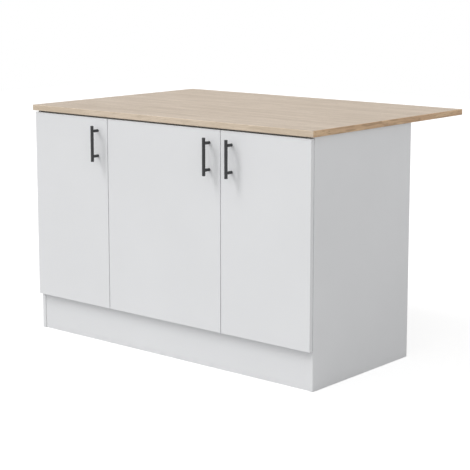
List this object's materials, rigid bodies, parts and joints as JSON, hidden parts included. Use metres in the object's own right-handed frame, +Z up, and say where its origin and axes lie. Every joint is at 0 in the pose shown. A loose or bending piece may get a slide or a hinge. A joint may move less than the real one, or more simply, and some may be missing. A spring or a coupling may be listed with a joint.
{
  "type": "kitchen island unit",
  "caption": "Free-standing kitchen island: white base cabinet with hinged doors on a plinth, under a light oak worktop overhanging at the back as a bar.",
  "frame": {"origin": "on the floor, under the middle of the outer box (from the handle fronts to the worktop's back edge)", "axes": "+X along the front from left to right as seen from the doors, +Y from the doors to the overhanging back, +Z up"},
  "size_m": [1.38, 0.971, 0.9],
  "materials": {
    "oak_worktop": "light oak decor with a fine grain along the length, matt",
    "white_board": "white melamine on chipboard, satin",
    "white_door": "white melamine door front, satin",
    "anthracite_handle": "dark anthracite coating, satin",
    "nickel_steel": "nickel-plated pressed steel"
  },
  "bodies": {
    "cabinet": {"worktop": "oak_worktop", "left_side_panel": "white_board", "right_side_panel": "white_board", "left_divider": "white_board", "right_divider": "white_board", "bottom_panel": "white_board", "front_top_rail": "white_board", "back_top_rail": "white_board", "back_panel": "white_board", "plinth_board": "white_board", "left_plinth_brace": "white_board", "right_plinth_brace": "white_board", "left_shelf": "white_board", "middle_shelf": "white_board", "right_shelf": "white_board", "left_shelf_support_front_left": "nickel_steel", "left_shelf_support_front_right": "nickel_steel", "left_shelf_support_back_left": "nickel_steel", "left_shelf_support_back_right": "nickel_steel", "middle_shelf_support_front_left": "nickel_steel", "middle_shelf_support_front_right": "nickel_steel", "middle_shelf_support_back_left": "nickel_steel", "middle_shelf_support_back_right": "nickel_steel", "right_shelf_support_front_left": "nickel_steel", "right_shelf_support_front_right": "nickel_steel", "right_shelf_support_back_left": "nickel_steel", "right_shelf_support_back_right": "nickel_steel", "left_door_hinge_plate_upper": "nickel_steel", "left_door_hinge_plate_lower": "nickel_steel", "middle_door_hinge_plate_upper": "nickel_steel", "middle_door_hinge_plate_lower": "nickel_steel", "right_door_hinge_plate_upper": "nickel_steel", "right_door_hinge_plate_lower": "nickel_steel", "left_door_hinge_arm_upper": "nickel_steel", "left_door_hinge_arm_lower": "nickel_steel", "middle_door_hinge_arm_upper": "nickel_steel", "middle_door_hinge_arm_lower": "nickel_steel", "right_door_hinge_arm_upper": "nickel_steel", "right_door_hinge_arm_lower": "nickel_steel"},
    "left_door": {"left_door": "white_door", "left_door_handle": "anthracite_handle", "left_door_handle_screw_upper": "nickel_steel", "left_door_handle_screw_lower": "nickel_steel", "left_door_hinge_cup_upper": "nickel_steel", "left_door_hinge_cup_lower": "nickel_steel"},
    "middle_door": {"middle_door": "white_door", "middle_door_handle": "anthracite_handle", "middle_door_handle_screw_upper": "nickel_steel", "middle_door_handle_screw_lower": "nickel_steel", "middle_door_hinge_cup_upper": "nickel_steel", "middle_door_hinge_cup_lower": "nickel_steel"},
    "right_door": {"right_door": "white_door", "right_door_handle": "anthracite_handle", "right_door_handle_screw_upper": "nickel_steel", "right_door_handle_screw_lower": "nickel_steel", "right_door_hinge_cup_upper": "nickel_steel", "right_door_hinge_cup_lower": "nickel_steel"}
  },
  "joints": [
    {"name": "left_door_swing", "type": "hinge", "parent": "cabinet", "child": "left_door", "pos_m": [-0.6745, -0.445, 0.507], "axis": [0, 0, -1], "range_deg": [0, 110]},
    {"name": "middle_door_swing", "type": "hinge", "parent": "cabinet", "child": "middle_door", "pos_m": [-0.2745, -0.445, 0.507], "axis": [0, 0, -1], "range_deg": [0, 110]},
    {"name": "right_door_swing", "type": "hinge", "parent": "cabinet", "child": "right_door", "pos_m": [0.6745, -0.445, 0.507], "axis": [0, 0, 1], "range_deg": [0, 110]}
  ]
}
